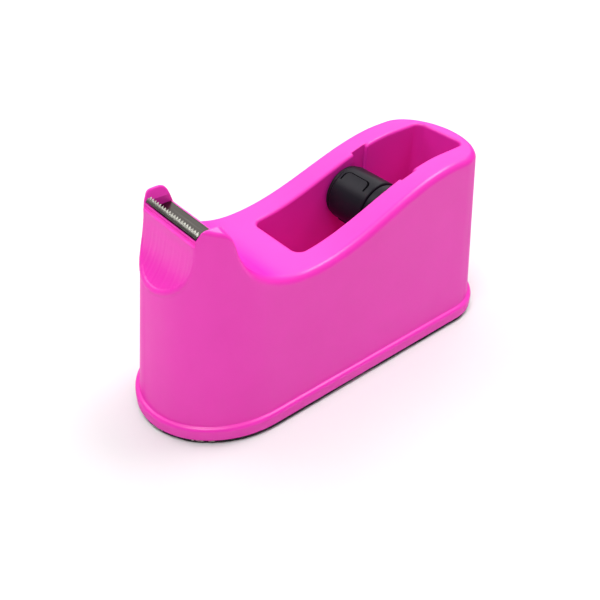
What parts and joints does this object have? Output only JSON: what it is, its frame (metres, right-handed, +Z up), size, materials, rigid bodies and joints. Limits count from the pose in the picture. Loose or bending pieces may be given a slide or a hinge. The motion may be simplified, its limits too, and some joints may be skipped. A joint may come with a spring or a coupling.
{
  "type": "tape dispenser",
  "caption": "Desktop tape dispenser with a weighted saddle-shaped body, a serrated cutter between two horns and a lift-out hub for small-core rolls.",
  "frame": {"origin": "on the table under the middle of the base, at the lower face of the sole", "axes": "+X to the rear (the cutter is at -X), +Y across the body, +Z up"},
  "size_m": [0.1804, 0.07, 0.0945],
  "materials": {
    "pink_shell": "satin-gloss moulded plastic, bright pink",
    "blade_steel": "stamped steel strip",
    "pin_steel": "drawn steel pin",
    "black_hub": "satin black moulded plastic",
    "ballast": "rough cast",
    "black_plate": "matt black moulded plastic",
    "screw_steel": "zinc plated",
    "sole_foam": "thin black foam rubber sheet"
  },
  "bodies": {
    "root": {"body_shell": "pink_shell", "cutter_blade": "blade_steel", "ballast_block": "ballast", "ballast_plate": "ballast", "base_plate": "black_plate", "base_screw_1": "screw_steel", "base_screw_2": "screw_steel", "base_screw_3": "screw_steel", "base_screw_4": "screw_steel", "base_screw_5": "screw_steel", "base_screw_6": "screw_steel", "antislip_sole": "sole_foam"},
    "axle": {"hub_axle": "pin_steel"},
    "hub": {"hub_sleeve": "black_hub", "hub_cap_left": "black_hub", "hub_cap_right": "black_hub"}
  },
  "joints": [
    {"name": "axle_lift", "type": "slide", "parent": "root", "child": "axle", "axis": [0.5, 0, 0.866], "range_m": [0, 0.042]},
    {"name": "hub_spin", "type": "hinge", "parent": "axle", "child": "hub", "pos_m": [0.0279, 0, 0.0628], "axis": [0, 1, 0], "continuous": true}
  ]
}
